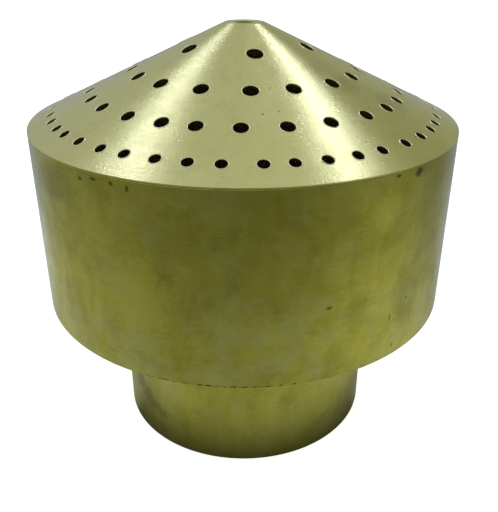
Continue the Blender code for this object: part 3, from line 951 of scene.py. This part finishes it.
def make_camera():
    """The camera of the picture: a close view from in front, looking 26 degrees down."""
    yaw, pitch, roll = 0.0294, 0.4511, 0.0104
    ahead = Vector((math.sin(yaw) * math.cos(pitch), math.cos(yaw) * math.cos(pitch), -math.sin(pitch)))
    right = ahead.cross(Vector((0, 0, 1))).normalized()
    up = right.cross(ahead)
    side = right * math.cos(roll) + up * math.sin(roll)
    rise = -right * math.sin(roll) + up * math.cos(roll)
    data = bpy.data.cameras.new("camera")
    data.lens = 45.4
    data.shift_x = -0.0257
    data.shift_y = -0.0186
    data.clip_start = 0.005
    camera = bpy.data.objects.new("camera", data)
    turn = Matrix((side, rise, -ahead)).transposed().to_4x4()
    place = Vector((0.0, -3.085 * RIM_RADIUS, RIM_HEIGHT + 0.7872 * RIM_RADIUS)) * MM
    camera.matrix_world = Matrix.Translation(place) @ turn
    bpy.context.scene.collection.objects.link(camera)
    bpy.context.scene.camera = camera


def glowing(name, grey=0.0, strength=1.0, specular=0.0):
    """Nodes of a material that gives off white light."""
    n = Nodes(bpy.data.materials.new(name))
    n.shader.inputs["Base Color"].default_value = rgba((grey, grey, grey))
    n.shader.inputs["Specular IOR Level"].default_value = specular
    n.shader.inputs["Emission Color"].default_value = WHITE
    n.shader.inputs["Emission Strength"].default_value = strength
    return n


def reflected_floor():
    """What the brass sees of the table: dark by the neck's foot, dim in front, bright and cool behind.

    The camera and the lamps don't see this disc, so its brightness is only that of the reflections.
    """
    disc = stage_disc("floor_in_reflections", -0.0004)
    n = glowing("floor_in_reflections")
    x, y, _ = n.split(n.place())
    radius = n.length(x, y)
    safe = n.math("MAXIMUM", radius, 0.01)
    facing = n.math("DIVIDE", n.times(y, -1.0), safe)
    across = n.math("DIVIDE", x, safe)
    # The dark foot and the dim front are painted shadow on the table, seen only in the brass's reflections.
    foot = n.ramp(radius, 31.0, 57.0, 0.10, 1.0, "SMOOTHSTEP")
    for pale in (n.ramp(facing, 0.0, -0.6, 0.0, 0.95), n.ramp(across, -0.88, -0.99, 0.0, 0.70),
                 n.ramp(across, 0.88, 0.99, 0.0, 0.45)):
        foot = n.math("MAXIMUM", foot, pale)
    far = n.ramp(radius, 105.0, 250.0, 1.0, 0.50)
    lean = n.times(n.math("POWER", across, 3.0), facing, n.ramp(radius, 50.0, 110.0, 0.0, 0.62))
    back = n.times(n.ramp(facing, -0.3, -0.95), n.ramp(n.times(across, across), 0.0, 0.14, 0.2, 1.0),
                   n.ramp(across, -0.6, 0.6, 0.9, 1.5))
    dim = n.times(n.ramp(facing, 0.45, 1.0, 0.0, 0.52), n.ramp(radius, 45.0, 180.0, 0.35, 1.0))
    strength = n.times(foot, far, n.math("SUBTRACT", 1.0, dim), n.plus(1.0, lean), n.plus(1.0, back))
    n.put(n.shader.inputs["Emission Strength"], n.times(strength, TABLE_GLOW))
    n.put(n.shader.inputs["Emission Color"], n.mix(n.ramp(facing, -0.3, -0.8), WHITE, rgba(TABLE_BEHIND)))
    disc.data.materials.append(n.owner)
    disc.visible_camera = False
    disc.visible_diffuse = False


def stage_disc(name, height):
    form = bmesh.new()
    bmesh.ops.create_circle(form, cap_ends=True, segments=96, radius=STAGE_RADIUS,
                            matrix=Matrix.Translation((0, 0, height)))
    mesh = bpy.data.meshes.new(name)
    form.to_mesh(mesh)
    form.free()
    disc = add_piece(name, mesh)
    disc.visible_shadow = False
    disc.visible_transmission = False
    return disc


def make_stage():
    """A pale floor and a white backdrop for the camera, and the darker table that the brass mirrors."""
    floor = stage_disc("floor", -0.0002)
    floor.data.materials.append(glowing("floor", 0.9, FLOOR_GLOW).owner)
    floor.visible_glossy = False
    reflected_floor()

    form = bmesh.new()
    bmesh.ops.create_uvsphere(form, u_segments=48, v_segments=24, radius=BACKDROP_RADIUS)
    mesh = bpy.data.meshes.new("backdrop")
    form.to_mesh(mesh)
    form.free()
    dome = add_piece("backdrop", mesh)
    mesh.materials.append(glowing("backdrop", specular=0.5).owner)
    dome.visible_diffuse = False
    dome.visible_glossy = False
    dome.visible_transmission = False
    dome.visible_shadow = False


def area_light(name, direction, azimuth, size, radiance):
    """A lamp whose reflection runs along one generator of the cone, at an azimuth from the front."""
    data = bpy.data.lights.new(name, "AREA")
    data.shape = "RECTANGLE"
    data.size, data.size_y = size
    data.energy = radiance * math.pi * size[0] * size[1]
    data.color = WINDOW_COLOUR
    light = bpy.data.objects.new(name, data)
    away = Vector(direction).normalized()
    turn = math.radians(azimuth)
    length = away.cross(Vector((math.cos(turn), math.sin(turn), 0.0))).normalized()
    facing = Matrix((length.cross(away), length, away)).transposed().to_4x4()
    centre = Vector((0, 0, RIM_HEIGHT)) * MM
    light.matrix_world = Matrix.Translation(centre + away * LAMP_DISTANCE) @ facing
    bpy.context.scene.collection.objects.link(light)


def make_light():
    """A room that is brighter overhead and warmer on the right, and window strips behind the nozzle."""
    n = Nodes(bpy.data.worlds.new("room"))
    bpy.context.scene.world = n.owner
    way = n.add("ShaderNodeTexCoord").outputs["Generated"]
    x, _, z = n.split(way)
    dull = n.add("ShaderNodeVectorMath", {0: way, 1: DULL_PATCH}, operation="DOT_PRODUCT").outputs["Value"]
    up = n.plus(n.ramp(z, 0.0, 1.0, HORIZON_LIGHT, OVERHEAD_LIGHT), n.ramp(z, 0.82, 1.0, 0.0, ZENITH_LIGHT))
    glow = n.times(up, n.ramp(x, -0.5, 0.5, 1.10, 0.84), n.ramp(dull, 0.93, 0.99, 1.0, 0.82, "SMOOTHSTEP"))
    n.put(n.shader.inputs["Strength"], glow)
    n.put(n.shader.inputs["Color"], n.mix(n.ramp(x, 0.0, 0.5), WHITE, rgba(WARM_SIDE)))

    for window in WINDOWS:
        area_light(*window)
    bpy.context.scene.view_settings.view_transform = "Standard"


make_camera()
make_stage()
make_light()
make_cap()
make_drum()
make_neck()
make_straightener()
make_distributor()
make_fixings()
